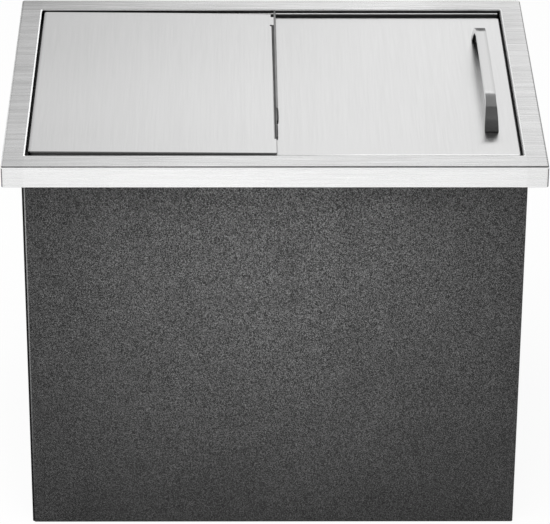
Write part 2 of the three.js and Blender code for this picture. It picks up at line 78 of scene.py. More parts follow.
# Rim frame sizes that its box doesn't give
RIM_SHEET = 1.2 * MM
SIDE_BORDER = 25 * MM
FRONT_BORDER = 28.1 * MM
SKIRT_BEND = 2.6 * MM
SKIRT_HIGHLIGHT_DROP = 0.92 * MM
SKIRT_CORNER = 3 * MM
HEM_WIDTH = 12 * MM
FLAT_MARGIN = 0.4 * MM
HEM_BEND = 1.6 * MM
RECESS_BEND = 0.8 * MM
RECESS_CORNER = 2.4 * MM
RECESS_LEFT_EXTRA = 0.5 * MM
RECESS_FRONT_EXTRA = 0.8 * MM
RECESS_DROP = 14 * MM
LEDGE_WIDTH = 16 * MM
LEDGE_CORNER = 20 * MM

# Lid sizes that their boxes don't give
LID_SHEET = 1 * MM
LID_BEND = 1.1 * MM
LID_CORNER = 3.4 * MM
UPPER_LID_FALL = 2.1 * MM
SEAM_X = 2.2 * MM
SEAM_NOTCH = (3.4 * MM, 10.5 * MM)

# Wiper strip and edge lip
WIPER_WIDTH = 2.6 * MM
WIPER_TAPER = 1.1 * MM
WIPER_HOOK = 2 * MM
WIPER_BACK_REACH = 2.3 * MM
LIP_WIDTH = 2.5 * MM
LIP_MAIN_END = -65 * MM
FLAP_GAP = 7 * MM
TRIM_GAP = 0.05 * MM

# Handle sizes that its box doesn't give
HANDLE_THICKNESS = 6 * MM
HANDLE_TOP_SETBACK = 38.8 * MM
HANDLE_SHOULDER_SETBACK = 18.6 * MM
HANDLE_SHOULDER_DROP = 7.2 * MM
HANDLE_FOOT_LENGTH = 7.4 * MM
HANDLE_LEG_BOW = 0.9 * MM
HANDLE_FLARE_LENGTH = 28.5 * MM
HANDLE_WAIST_WIDTH = 11.6 * MM
HANDLE_WAIST_SHIFT = 0.2 * MM
HANDLE_FOLD_SETBACK = 7.5 * MM
HANDLE_SHOULDER_ROUND = 0.3 * MM
HANDLE_BOW_ROUND = 3 * MM
HANDLE_BOW_SHARE = 0.52
HANDLE_TOE = 0.8 * MM
HANDLE_EDGE = 0.5 * MM
HANDLE_BOSS_RADIUS = 4 * MM
HANDLE_BOSS_MIDDLE = 7.2 * MM

# Painted light and shade on the steel, its wear and the dark lines at the skirt's corners. A share multiplies
# its brushed tone, a loss comes off it and a tone replaces it.
STEEL_WEAR = 0.04
RECESS_SHADE_SHARE = 0.13
RECESS_FRONT_LIGHT_SHARE = 3.2
RECESS_LIT_TONE = 0.7
BACK_BORDER_LIGHT_SHARES = (0.81, 1.05)
SIDE_BORDER_SHADE_SHARE = 0.965
FRONT_LEFT_SHADE_LOSS = 0.06
UPRIGHT_SHADE_SHARE = 0.975
CORNER_LINE_SHARE = 0.15
BEND_DARK_BAND_SHARE = 0.25
BEND_HIGHLIGHT_TONE = 0.7
UPPER_LID_FRONT_SHADE_SHARE = 0.42
UPPER_LID_LEFT_SHADE_SHARE = 0.72
LOWER_LID_HIGHLIGHT_TONES = (0.55, 0.78)
HANDLE_RIGHT_SHADE_SHARE = 0.85
HANDLE_SLOPE_SHADE_SHARE = 0.7
HANDLE_UNDERSIDE_LIGHT_SHARE = 1.25
HANDLE_LEFT_LIGHT_SHARE = 1.4
HANDLE_FOOT_SHADOW_SHARE = 0.3
# How far up a face points where it starts to count as level, and where it does in full
LEVELLING = (0.2, 0.8)

# Painted pool of light on the casing's coat: its tone at the brightest point and where it has faded, and the
# places of these
COAT_TONES = (0.088, 0.03)
COAT_BRIGHT_HEIGHT = 0.4
COAT_FADE_HEIGHT = 0.45
COAT_FADE_WIDTH = 0.37
PALE_EDGE_GAIN = 0.28
PAST_SEAM_SHADE_SHARE = 0.1
PEBBLE_SCALE = 980
GRIT_SCALE = 1400

# Light. The room is its strength in the steel, by the angle from the back horizon up and over
# to the front one.
ROOM = (
    (0, 0.35), (8, 0.45), (15, 0.95), (33, 0.95), (38, 0.84), (45, 0.52), (54, 0.35), (66, 0.32),
    (71, 0.12), (76, 0.05), (86, 0.03), (91, 0.45), (99, 0.45), (103, 0.04), (113, 0.1), (120, 0.18),
    (128, 0.12), (134, 0.05), (146, 0.04), (154, 0.5), (159, 0.85), (167, 0.8), (174, 0.5), (180, 0.6),
)
ROOM_DIFFUSE = 0.55
FLOOR_WHITENESS = 0.92

# The photograph's camera, fitted to the straight edges of the rim, skirt and casing
PHOTO_WIDTH = 550
FOCAL_PIXELS = 3375.98
PRINCIPAL_X = 260.81
CAMERA_PITCH = math.radians(28.696)
CAMERA_YAW = 0.00862
CAMERA_ROLL = 0.0037
CAMERA_FROM_RIM_TOP = Vector((-42.39, -3408.2, 1632.85)) * MM


def make_camera():
    """Stands the photograph's camera up in the scene."""
    data = bpy.data.cameras.new("camera")
    data.sensor_fit = "HORIZONTAL"
    data.sensor_width = 36
    data.lens = FOCAL_PIXELS / PHOTO_WIDTH * data.sensor_width
    data.shift_x = 0.5 - PRINCIPAL_X / PHOTO_WIDTH
    data.clip_start = 0.1
    data.clip_end = 60
    forward = Vector((
        math.sin(CAMERA_YAW) * math.cos(CAMERA_PITCH),
        math.cos(CAMERA_YAW) * math.cos(CAMERA_PITCH),
        -math.sin(CAMERA_PITCH),
    ))
    right = Vector((math.cos(CAMERA_YAW), -math.sin(CAMERA_YAW), 0))
    up = right.cross(forward)
    turn, lean = math.cos(CAMERA_ROLL), math.sin(CAMERA_ROLL)
    rolled_right = turn * right + lean * up
    rolled_up = turn * up - lean * right
    camera = bpy.data.objects.new("camera", data)
    bpy.context.scene.collection.objects.link(camera)
    rim_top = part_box("rim_frame")[1].z
    place = CAMERA_FROM_RIM_TOP + Vector((0, 0, rim_top))
    matrix = Matrix((rolled_right, rolled_up, -forward)).transposed().to_4x4()
    matrix.translation = place
    camera.matrix_world = matrix
    bpy.context.scene.camera = camera


# Node trees
class Tree:
    """Short calls for building a node tree."""

    def __init__(self, owner):
        owner.use_nodes = True
        self.tree = owner.node_tree
        self.tree.nodes.clear()

    def link(self, socket, value):
        """Joins a socket to another node's output, or sets it to a constant."""
        if isinstance(value, bpy.types.NodeSocket):
            self.tree.links.new(value, socket)
        else:
            socket.default_value = value

    def add(self, kind, inputs=None, **settings):
        node = self.tree.nodes.new(kind)
        for name, value in settings.items():
            setattr(node, name, value)
        for name, value in (inputs or {}).items():
            self.link(node.inputs[name], value)
        return node

    def math(self, operation, *values):
        return self.add("ShaderNodeMath", dict(enumerate(values)), operation=operation).outputs[0]

    def times(self, *values):
        product = values[0]
        for value in values[1:]:
            product = self.math("MULTIPLY", product, value)
        return product

    def vary(self, value, noise, amount):
        """Adds amount times a noise to value, with the middle of the noise counted as none."""
        return self.math("MULTIPLY_ADD", self.math("SUBTRACT", noise, 0.5), amount, value)

    def spread(self, value, low, high, to_low=0.0, to_high=1.0, smooth=False):
        """Carries value from the range low..high to to_low..to_high, clamped."""
        return self.add("ShaderNodeMapRange", {
            "Value": value,
            "From Min": low,
            "From Max": high,
            "To Min": to_low,
            "To Max": to_high,
        }, interpolation_type="SMOOTHSTEP" if smooth else "LINEAR").outputs["Result"]

    def scaled(self, value, share, factor):
        """Leaves value where share is 0 and multiplies it by factor where share is 1."""
        return self.times(value, self.spread(share, 0.0, 1.0, 1.0, factor))

    def blend(self, share, first, second):
        """Gives first where share is 0 and second where it is 1."""
        return self.add("ShaderNodeMix", {0: share, 2: first, 3: second}).outputs[0]

    def mix(self, share, first, second):
        """The same for two colours."""
        node = self.add("ShaderNodeMix", data_type="RGBA")
        for index, value in ((0, share), (6, first), (7, second)):
            self.link(node.inputs[index], value)
        return node.outputs[2]

    def place(self):
        return self.add("ShaderNodeTexCoord").outputs["Object"]

    def axes(self, vector):
        return self.add("ShaderNodeSeparateXYZ", {"Vector": vector}).outputs

    def facing(self):
        """The X, Y and Z of the way that the surface faces."""
        return self.axes(self.add("ShaderNodeNewGeometry").outputs["Normal"])

    def noise(self, vector, scale, detail=2.0, roughness=0.5):
        return self.add("ShaderNodeTexNoise", {
            "Vector": vector,
            "Scale": scale,
            "Detail": detail,
            "Roughness": roughness,
        }).outputs["Fac"]

    def stretched(self, vector, scale, offset=(0, 0, 0)):
        return self.add("ShaderNodeMapping", {
            "Vector": vector,
            "Scale": scale,
            "Location": offset,
        }).outputs["Vector"]

    def bump(self, height, strength, distance):
        inputs = {"Height": height, "Strength": strength, "Distance": distance}
        return self.add("ShaderNodeBump", inputs).outputs["Normal"]

    def neutral(self, value):
        """A grey colour from a value."""
        inputs = {"Red": value, "Green": value, "Blue": value}
        return self.add("ShaderNodeCombineColor", inputs).outputs["Color"]

    def surface(self, shader):
        self.add("ShaderNodeOutputMaterial", {"Surface": shader})

    def principled(self, inputs):
        self.surface(self.add("ShaderNodeBsdfPrincipled", inputs).outputs["BSDF"])


def grey(value):
    return (value, value, value, 1)


def new_material(name):
    material = bpy.data.materials.new(name)
    return material, Tree(material)


def painted_crevice_shade(tree, shut, wide, dark, reach=14 * MM):
    """A share that paints shade: it falls to dark where neighbours close in.

    It is 1 from the openness wide up and dark from shut down. reach is how far neighbours count.
    """
    openness = tree.add("ShaderNodeAmbientOcclusion", {"Distance": reach}, samples=6).outputs["AO"]
    return tree.spread(openness, shut, wide, dark, 1.0, True)


# Painted light and shade on the rim, and its corner lines. Each part reads the place on the rim and says
# where it acts, or changes the tone there.
def recess_walls():
    """Half the width and half the depth of the recess."""
    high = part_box("rim_frame")[1]
    return high.x - SIDE_BORDER, high.y - FRONT_BORDER


def recess_inside(tree, axes, value):
    """The recess's wall and ledge are matt and painted dark as shade, with painted light making them pale in
    front and on the upper right wall.

    Gives where they are, where they are pale, and their tone.
    """
    wall_x, wall_y = recess_walls()
    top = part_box("rim_frame")[1].z
    slack = 0.3 * MM
    across = tree.math("ABSOLUTE", axes[0])
    inside_x = tree.math("LESS_THAN", across, wall_x + RECESS_LEFT_EXTRA + slack)
    from_middle = tree.math("ABSOLUTE", tree.math("ADD", axes[1], RECESS_FRONT_EXTRA / 2))
    inside_y = tree.math("LESS_THAN", from_middle, wall_y + RECESS_FRONT_EXTRA / 2 + slack)
    below = tree.spread(axes[2], top - RECESS_BEND - 0.6 * MM, top - RECESS_BEND, 1.0, 0.0)
    inside = tree.times(inside_x, inside_y, below)
    # Painted light makes pale the ledge along the front, but for its corners, and the upper part of the right
    # wall
    front = tree.spread(axes[1], 14 * MM - wall_y, 11 * MM - wall_y)
    front = tree.times(front, tree.spread(across, wall_x - 6 * MM, wall_x - 2 * MM, 1.0, 0.0))
    right = tree.math("GREATER_THAN", axes[0], wall_x - slack)
    right = tree.times(right, tree.spread(axes[2], top - 11 * MM, top - 6 * MM))
    pale = tree.math("MAXIMUM", front, right)
    # Painted shade in the recess, deeper where neighbours close in, and painted light on the front wall
    dark = tree.times(value, RECESS_SHADE_SHARE, painted_crevice_shade(tree, 0.3, 0.62, 0.04))
    front_wall = tree.spread(axes[1], -wall_y - slack, 0.1 * MM - wall_y, RECESS_FRONT_LIGHT_SHARE, 1.0)
    return inside, pale, tree.blend(pale, tree.times(dark, front_wall), RECESS_LIT_TONE)


def painted_brink_highlight(tree, axes):
    """Where a highlight is painted on the bend into the recess: all round but at the back, and wider on the
    left.
    """
    wall_x, wall_y = recess_walls()
    reach = 0.3 * MM
    edge_x = wall_x + RECESS_BEND + RECESS_LEFT_EXTRA
    brink_x = tree.spread(tree.math("ABSOLUTE", axes[0]), edge_x + reach, edge_x)
    on_left = tree.math("LESS_THAN", axes[0], -wall_x)
    left_band = tree.times(tree.spread(axes[0], -edge_x - 0.8 * MM, -edge_x - 0.5 * MM), on_left)
    brink_x = tree.math("MAXIMUM", brink_x, left_band)
    edge_y = wall_y + RECESS_BEND + RECESS_FRONT_EXTRA
    brink_y = tree.spread(axes[1], -edge_y - reach, -edge_y)
    not_back = tree.math("LESS_THAN", axes[1], wall_y + 0.4 * MM)
    brink_highlight = tree.times(brink_x, brink_y, not_back)
    return brink_highlight, tree.times(brink_highlight, on_left)


def painted_border_light(tree, axes, value):
    """Paints light and shade on the borders: the back border brightens from left to right, the sides darken a
    little, and so does the left of the front border.
    """
    wall_x, wall_y = recess_walls()
    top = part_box("rim_frame")[1].z
    behind = tree.math("GREATER_THAN", axes[1], wall_y)
    fade = tree.spread(axes[0], -wall_x, wall_x, *BACK_BORDER_LIGHT_SHARES)
    value = tree.times(value, tree.blend(behind, 1.0, fade))
    across = tree.math("ABSOLUTE", axes[0])
    value = tree.times(value, tree.spread(across, wall_x, wall_x + 2 * MM, 1.0, SIDE_BORDER_SHADE_SHARE))
    on_top = tree.math("GREATER_THAN", axes[2], top - 0.5 * MM)
    in_front = tree.times(tree.math("SUBTRACT", 1.0, behind), on_top)
    shaded = tree.times(in_front, tree.spread(axes[0], -wall_x, 0.0, FRONT_LEFT_SHADE_LOSS, 0.0))
    return tree.times(value, tree.math("SUBTRACT", 1.0, shaded))


def skirt_bend(tree, axes):
    """Where a highlight is painted on the lower part of the front skirt's bend, and a dark reflection is
    painted above it.
    """
    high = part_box("rim_frame")[1]
    highlight_top = high.z - SKIRT_HIGHLIGHT_DROP
    bend_end = high.z - SKIRT_BEND
    step = 0.1 * MM
    in_front = tree.math("LESS_THAN", axes[1], SKIRT_BEND - high.y)
    below_top = tree.spread(axes[2], high.z - 0.12 * MM, high.z - 0.06 * MM, 1.0, 0.0)
    on_bend = tree.times(in_front, below_top)
    painted_highlight = tree.spread(axes[2], highlight_top - step, highlight_top, 1.0, 0.0)
    above_end = tree.spread(axes[2], bend_end - 2 * step, bend_end + 2 * step)
    painted_highlight = tree.times(painted_highlight, tree.times(on_bend, above_end))
    dark_band = tree.times(on_bend, tree.spread(axes[2], highlight_top - step, highlight_top))
    return painted_highlight, dark_band


def corner_lines(tree, axes):
    """Where a thin dark line runs down each of the skirt's upright corners."""
    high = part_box("rim_frame")[1]
    from_middle = tree.math("ABSOLUTE", axes[0])
    from_line = tree.math("ABSOLUTE", tree.math("SUBTRACT", from_middle, high.x - RIM_SHEET))
    near_end = tree.spread(tree.math("ABSOLUTE", axes[1]), high.y - 3 * MM, high.y - 2.6 * MM)
    below_top = tree.spread(axes[2], high.z - 2 * MM, high.z - 1 * MM, 1.0, 0.0)
    line = tree.spread(from_line, 0.25 * MM, 0.7 * MM, 1.0, 0.0)
    return tree.times(line, near_end, below_top)


def rim_painted_light(tree, place, value):
    """The rim's tone and metallic share, with painted light and shade. The painted highlights on the left
    brink and the skirt's bend, and the pale parts of the recess, shine less like a mirror.
    """
    axes = tree.axes(place)
    # Upright faces painted a little darker as shade
    value = tree.times(value, tree.spread(tree.facing()[2], *LEVELLING, UPRIGHT_SHADE_SHARE, 1.0))
    value = tree.scaled(value, corner_lines(tree, axes), CORNER_LINE_SHARE)
    inside, pale, painted_recess = recess_inside(tree, axes, value)
    brink_highlight, left_brink_highlight = painted_brink_highlight(tree, axes)
    # Painted highlight on the bend into the recess, matt and white on the left
    value = tree.blend(brink_highlight, value, 1.0)
    value = painted_border_light(tree, axes, value)
    tone = tree.blend(inside, value, painted_recess)
    # Painted dark reflection and painted highlight on the front skirt's bend, which is matt where highlit
    painted_highlight, dark_band = skirt_bend(tree, axes)
    tone = tree.scaled(tone, dark_band, BEND_DARK_BAND_SHARE)
    tone = tree.blend(painted_highlight, tone, BEND_HIGHLIGHT_TONE)
    matt = tree.math("MAXIMUM", tree.times(inside, pale), left_brink_highlight)
    return tone, tree.math("SUBTRACT", 1.0, tree.math("MAXIMUM", matt, painted_highlight))


# Painted light and shade on other steel parts, each with the tone and metallic share that it leaves
def handle_painted_light(tree, place, value):
    """Painted shade on its right edge and back slope, a painted contact shadow at its feet, and painted light
    on its left side and underside.
    """
    axes, facing = tree.axes(place), tree.facing()
    low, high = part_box("handle")
    edge = (low.x + high.x) / 2 + HANDLE_WAIST_WIDTH / 2
    on_top = tree.math("GREATER_THAN", facing[2], 0.98)
    right = tree.times(on_top, tree.spread(axes[0], edge - 3.6 * MM, edge - 0.4 * MM))
    value = tree.scaled(value, right, HANDLE_RIGHT_SHADE_SHARE)
    slope = tree.times(tree.spread(facing[1], 0.12, 0.25), tree.math("GREATER_THAN", facing[2], 0.8))
    value = tree.scaled(value, slope, HANDLE_SLOPE_SHADE_SHARE)
    value = tree.times(value, tree.spread(facing[2], -0.8, -0.4, HANDLE_UNDERSIDE_LIGHT_SHARE, 1.0))
    value = tree.times(value, tree.spread(facing[0], -0.9, -0.7, HANDLE_LEFT_LIGHT_SHARE, 1.0))
    foot = tree.spread(axes[2], low.z + 0.6 * MM, low.z + 1.4 * MM, HANDLE_FOOT_SHADOW_SHARE, 1.0)
    return tree.times(value, foot), 1.0


def upper_lid_painted_shade(tree, place, value):
    """Paints shade on the front bend over the gap, and on the left edge."""
    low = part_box("upper_lid_panel")[0]
    axes = tree.axes(place)
    front = tree.spread(axes[1], low.y + 1.2 * MM, low.y + 1.5 * MM, UPPER_LID_FRONT_SHADE_SHARE, 1.0)
    left = tree.spread(axes[0], low.x + 0.8 * MM, low.x + 3.6 * MM, UPPER_LID_LEFT_SHADE_SHARE, 1.0)
    return tree.times(value, front, left), 1.0


def lower_lid_painted_highlight(tree, place, value):
    """Paints a pale highlight on the front bend, more so to the right."""
    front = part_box("lower_lid_panel")[0].y
    axes = tree.axes(place)
    metallic = tree.spread(axes[1], front + 1.2 * MM, front + 1.6 * MM)
    highlight_tone = tree.spread(axes[0], 30 * MM, 90 * MM, *LOWER_LID_HIGHLIGHT_TONES)
    return tree.blend(metallic, highlight_tone, value), metallic


def brushed_steel(name, tone, roughness, anisotropy, streak, shade=None, painted_light=None,
                  upright_streak=None, metallic=1.0):
    """Steel with the grain of the grain map, which runs across it in U and along it in V, in metres.

    streak is how far the grain varies, and upright_streak the share of it on upright faces. shade
    holds the settings of the painted shade in crevices, and the function given for painted light and
    shade changes the tone and metallic share from place to place.
    """
    material, tree = new_material(name)
    grain = tree.add("ShaderNodeUVMap", uv_map="grain").outputs["UV"]
    place = tree.place()
    fine = tree.noise(tree.stretched(grain, (1000, 12, 1)), 1, 3)
    hair = tree.noise(tree.stretched(grain, (1900, 20, 1), (5, 2, 0)), 1, 2)
    middle = tree.noise(tree.stretched(grain, (420, 6, 1), (3, 7, 0)), 1, 3)
    broad = tree.noise(tree.stretched(grain, (60, 3, 1), (11, 5, 0)), 1, 2)
    cloud = tree.noise(place, 7, 2)
    lines = 0.0
    for layer, share in ((middle, 0.85), (fine, 1.25), (hair, 1.3), (broad, 0.5)):
        lines = tree.vary(lines, layer, streak * share)
    lines = tree.math("MAXIMUM", tree.math("MINIMUM", lines, streak * 0.3), -streak * 0.36)
    if upright_streak is not None:
        lines = tree.times(lines, tree.spread(tree.facing()[2], *LEVELLING, upright_streak, 1.0))
    value = tree.math("ADD", tree.vary(lines, cloud, STEEL_WEAR), tone)
    if shade:
        value = tree.times(value, painted_crevice_shade(tree, *shade))
    if painted_light:
        value, metallic = painted_light(tree, place, value)
    tree.principled({
        "Base Color": tree.neutral(value),
        "Metallic": metallic,
        "Roughness": tree.vary(tree.vary(roughness, fine, 0.16), cloud, 0.08),
        "Anisotropic": anisotropy,
        "Normal": tree.bump(fine, 0.25, 0.02 * MM),
        "Tangent": tree.add("ShaderNodeTangent", direction_type="UV_MAP", uv_map="grain").outputs[0],
    })
    return material


def rail_steel(name):
    """A folded strip of sheet painted dark as shade, with a painted highlight just below its top edge."""
    material, tree = new_material(name)
    place = tree.place()
    height = tree.axes(place)[2]
    grain = tree.noise(tree.stretched(place, (20, 700, 700)), 1, 3)
    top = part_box("rail_back")[1].z
    painted_highlight = tree.spread(height, top - 1.75 * MM, top - 1.5 * MM)
    painted_highlight = tree.times(painted_highlight, tree.spread(height, top - 0.6 * MM, top - 0.4 * MM, 1.0, 0.0))
    painted_highlight = tree.times(painted_highlight, tree.spread(tree.facing()[2], 0.6, 0.8, 1.0, 0.0))
    tone = tree.spread(painted_highlight, 0.0, 1.0, 0.1, 0.9)
    tone = tree.vary(tone, grain, tree.times(tone, 0.3))
    tree.principled({
        "Base Color": tree.neutral(tone),
        "Metallic": tree.spread(tone, 0.2, 0.6, 1.0, 0.0),
        "Roughness": tree.spread(grain, 0.2, 0.8, 0.35, 0.5),
    })
    return material


def painted_light_pool(tree, axes):
    """A painted pool of light: the coat's tone falls off all round from a point high on the middle of each
    side.
    """
    up = tree.math("DIVIDE", tree.math("SUBTRACT", axes[2], COAT_BRIGHT_HEIGHT), COAT_FADE_HEIGHT)
    on_end = tree.math("GREATER_THAN", tree.math("ABSOLUTE", tree.facing()[0]), 0.7)
    out = tree.math("DIVIDE", tree.blend(on_end, axes[0], axes[1]), COAT_FADE_WIDTH)
    away = tree.math("SQRT", tree.math("MULTIPLY_ADD", up, up, tree.times(out, out)))
    return tree.spread(away, 0.0, 1.1, *COAT_TONES, True)


def seam_places(tree, axes):
    """Where a pale line runs along a sheet's edge at its seam, fading towards the bottom, and the bend just
    past it, which is painted dark and rough as shade.
    """
    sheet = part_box("casing_front_right")[0]
    from_edge = tree.math("SUBTRACT", -sheet.x, tree.math("ABSOLUTE", axes[0]))
    at_seam = tree.math("GREATER_THAN", tree.times(axes[0], axes[1]), 0)
    on_edge = tree.spread(from_edge, 1.0 * MM, 1.4 * MM, 1.0, 0.0)
    on_sheet = tree.spread(from_edge, -0.1 * MM, 0.05 * MM)
    rising = tree.spread(axes[2], 0.02, 0.43)
    pale_edge = tree.times(tree.times(on_edge, on_sheet), tree.times(at_seam, rising))
    past = tree.times(tree.spread(from_edge, -0.3 * MM, -0.1 * MM, 1.0, 0.0), at_seam)
    from_face = tree.math("SUBTRACT", -sheet.y, tree.math("ABSOLUTE", axes[1]))
    return pale_edge, tree.times(past, tree.spread(from_face, 3.0 * MM, 4.5 * MM, 1.0, 0.0))


def pebbled_black(name):
    """A black powder coat with a fine pebbled skin, a painted pool of light and painted shade in crevices."""
    material, tree = new_material(name)
    place = tree.place()
    axes = tree.axes(place)
    pebble = tree.noise(place, PEBBLE_SCALE, 1)
    grit = tree.noise(place, GRIT_SCALE, 1)
    drift = tree.noise(place, 30, 3, 0.55)
    broad = tree.noise(place, 8, 2)
    speckle = tree.vary(tree.spread(pebble, 0.3, 0.7, -0.5, 2.5), grit, 8.0)
    speckle = tree.math("MAXIMUM", speckle, 0.02)
    mottle = tree.vary(tree.vary(1.0, drift, 0.4), broad, 0.35)
    # Painted pool of light, with the coat's mottle and speckle
    tone = tree.times(painted_light_pool(tree, axes), mottle, speckle)
    # Painted shade where neighbours close in, as under the skirt
    tone = tree.times(tree.math("MAXIMUM", tone, 0.003), painted_crevice_shade(tree, 0.2, 0.5, 0.3, 8 * MM))
    pale_edge, past_sheet = seam_places(tree, axes)
    tone = tree.math("MULTIPLY_ADD", pale_edge, PALE_EDGE_GAIN, tone)
    # The bend past the seam is painted dark and rough as shade
    tree.principled({
        "Base Color": tree.neutral(tree.scaled(tone, past_sheet, PAST_SEAM_SHADE_SHARE)),
        "Roughness": tree.math("MAXIMUM", tree.spread(grit, 0.2, 0.8, 0.42, 0.62), past_sheet),
        "Specular IOR Level": 0.3,
        "Normal": tree.bump(tree.math("MULTIPLY_ADD", grit, 0.5, pebble), 0.9, 0.9 * MM),
    })
    return material


def moulded(name, colour, roughness, bumpiness, scale=900, mottle=0.12):
    """A plastic or rubber. mottle is the share by which its colour varies."""
    material, tree = new_material(name)
    place = tree.place()
    grain = tree.noise(place, scale, 2)
    cloud = tree.noise(place, 40, 3)
    darker = tuple(channel * (1 - mottle) for channel in colour) + (1,)
    lighter = tuple(channel * (1 + mottle) for channel in colour) + (1,)
    tree.principled({
        "Base Color": tree.mix(tree.spread(cloud, 0.3, 0.7), darker, lighter),
        "Roughness": tree.spread(grain, 0.2, 0.8, roughness - 0.06, roughness + 0.06),
        "Normal": tree.bump(grain, bumpiness, 0.2 * MM),
    })
    return material


def turned_brass(name):
    material, tree = new_material(name)
    place = tree.place()
    cloud = tree.noise(place, 60, 3)
    rings = tree.noise(tree.stretched(place, (3, 3, 1800)), 1, 2)
    tree.principled({
        "Base Color": tree.mix(cloud, (0.52, 0.37, 0.16, 1), (0.74, 0.56, 0.29, 1)),
        "Metallic": 1.0,
        "Roughness": tree.spread(rings, 0.2, 0.8, 0.26, 0.42),
        "Normal": tree.bump(rings, 0.2, 0.1 * MM),
    })
    return material


def rigid_foam(name):
    material, tree = new_material(name)
    place = tree.place()
    cells = tree.add("ShaderNodeTexVoronoi", {"Vector": place, "Scale": 700}).outputs["Distance"]
    cloud = tree.noise(place, 20, 3)
    tree.principled({
        "Base Color": tree.mix(cloud, (0.78, 0.72, 0.55, 1), (0.9, 0.86, 0.72, 1)),
        "Roughness": 0.9,
        "Normal": tree.bump(cells, 0.5, 0.6 * MM),
    })
    return material


LID_LOOK = dict(roughness=0.2, anisotropy=0.93, streak=0.06, shade=(0.0, 0.3, 0.3))
STEEL_LOOKS = {
    "rim_steel": dict(tone=0.8, roughness=0.27, anisotropy=0.75, streak=0.42, upright_streak=0.35,
                      painted_light=rim_painted_light),
    "lid_steel": dict(tone=0.74, painted_light=upper_lid_painted_shade, **LID_LOOK),
    "highlit_lid_steel": dict(tone=0.73, painted_light=lower_lid_painted_highlight, **LID_LOOK),
    "liner_steel": dict(tone=0.7, roughness=0.34, anisotropy=0.5, streak=0.05, shade=(0.1, 0.5, 0.3),
                        metallic=0.55),
    "handle_steel": dict(tone=0.67, roughness=0.22, anisotropy=0.4, streak=0.05,
                         shade=(0.45, 0.97, 0.08, 20 * MM), painted_light=handle_painted_light),
    "fastener_steel": dict(tone=0.6, roughness=0.35, anisotropy=0.0, streak=0.03),
}
MATERIALS = {name: brushed_steel(name, **look) for name, look in STEEL_LOOKS.items()}
for name, maker in (
    ("casing_black", pebbled_black),
    ("foam", rigid_foam),
    ("rail_steel", rail_steel),
    ("brass", turned_brass),
):
    MATERIALS[name] = maker(name)
for name, *look in (
    ("nylon", (0.8, 0.8, 0.76), 0.45, 0.1),
    ("vinyl_grey", (0.17, 0.17, 0.17), 0.5, 0.15),
    # A black for the pieces that stand in for shadow along the seam
    ("flap_black", (0.03, 0.03, 0.03), 0.6, 0.2, 1400, 0.3),
    ("rubber_black", (0.05, 0.05, 0.05), 0.7, 0.3, 1400, 0.25),
):
    MATERIALS[name] = moulded(name, *look)
SLOT_OF = {part["node"]: part["material_slot"] for part in frame["record"]["subparts"]}


# Meshes
def rounded(half_x, half_y, z, radius, centre=(0, 0), slope=0.0):
    """A rounded rectangle, counter-clockwise seen from above. slope lowers it towards +X."""
    corner = max(min(radius, half_x, half_y), LEAST_CORNER)
    points = []
    for quarter, (sign_x, sign_y) in enumerate(((1, -1), (1, 1), (-1, 1), (-1, -1))):
        middle_x = centre[0] + sign_x * (half_x - corner)
        middle_y = centre[1] + sign_y * (half_y - corner)
        for step in range(CORNER_STEPS + 1):
            angle = (quarter - 1 + step / CORNER_STEPS) * math.pi / 2
            x = middle_x + corner * math.cos(angle)
            y = middle_y + corner * math.sin(angle)
            points.append((x, y, z - slope * x))
    return points


def bend_down(radius):
    """Inset and drop of each step of a quarter bend, from the flat top down to the wall."""
    angles = [step / BEND_STEPS * math.pi / 2 for step in range(BEND_STEPS + 1)]
    return [(radius * (1 - math.sin(a)), radius * (1 - math.cos(a))) for a in angles]


def lofted(levels, closed=False):
    """A bmesh skin over levels of equal length, closed on itself or capped at both ends."""
    bm = bmesh.new()
    rows = [[bm.verts.new(point) for point in level] for level in levels]
    pairs = list(zip(rows, rows[1:]))
    if closed:
        pairs.append((rows[-1], rows[0]))
    for upper, lower in pairs:
        for column in range(len(upper)):
            after = (column + 1) % len(upper)
            bm.faces.new((upper[column], lower[column], lower[after], upper[after]))
    if not closed:
        bm.faces.new(rows[0])
        bm.faces.new(list(reversed(rows[-1])))
    bmesh.ops.recalc_face_normals(bm, faces=bm.faces)
    return bm


def cut_away(bm, *boxes):
    """The mesh less some boxes, each given by its lowest and highest corner."""
    body = object_of("cutting_body", bm)
    for low, high in boxes:
        tool_bm = bmesh.new()
        bmesh.ops.create_cube(tool_bm, size=1)
        for vert in tool_bm.verts:
            vert.co = Vector([low[i] if vert.co[i] < 0 else high[i] for i in range(3)])
        tool = object_of("cutting_tool", tool_bm)
        modifier = body.modifiers.new("cut", "BOOLEAN")
        modifier.operation = "DIFFERENCE"
        modifier.solver = "EXACT"
        modifier.object = tool
    bpy.context.view_layer.update()
    evaluated = body.evaluated_get(bpy.context.evaluated_depsgraph_get())
    result = bmesh.new()
    result.from_mesh(evaluated.to_mesh())
    for leftover in [o for o in bpy.data.objects if o.name.startswith("cutting_")]:
        bpy.data.objects.remove(leftover)
    return result


def object_of(name, bm):
    mesh = bpy.data.meshes.new(name)
    bm.to_mesh(mesh)
    bm.free()
    made = bpy.data.objects.new(name, mesh)
    bpy.context.scene.collection.objects.link(made)
    return made


def soften(bm):
    """Rounds every sharp edge."""
    bmesh.ops.remove_doubles(bm, verts=bm.verts, dist=0.001 * MM)
    bmesh.ops.dissolve_limit(bm, angle_limit=math.radians(0.5), verts=bm.verts, edges=bm.edges)
    sharp = [
        edge for edge in bm.edges
        if len(edge.link_faces) == 2 and edge.calc_face_angle(0) > SOFT_ANGLE
    ]
    bmesh.ops.bevel(bm, geom=sharp, offset=SOFT_WIDTH, segments=2, profile=0.5,
                    affect="EDGES", clamp_overlap=True)


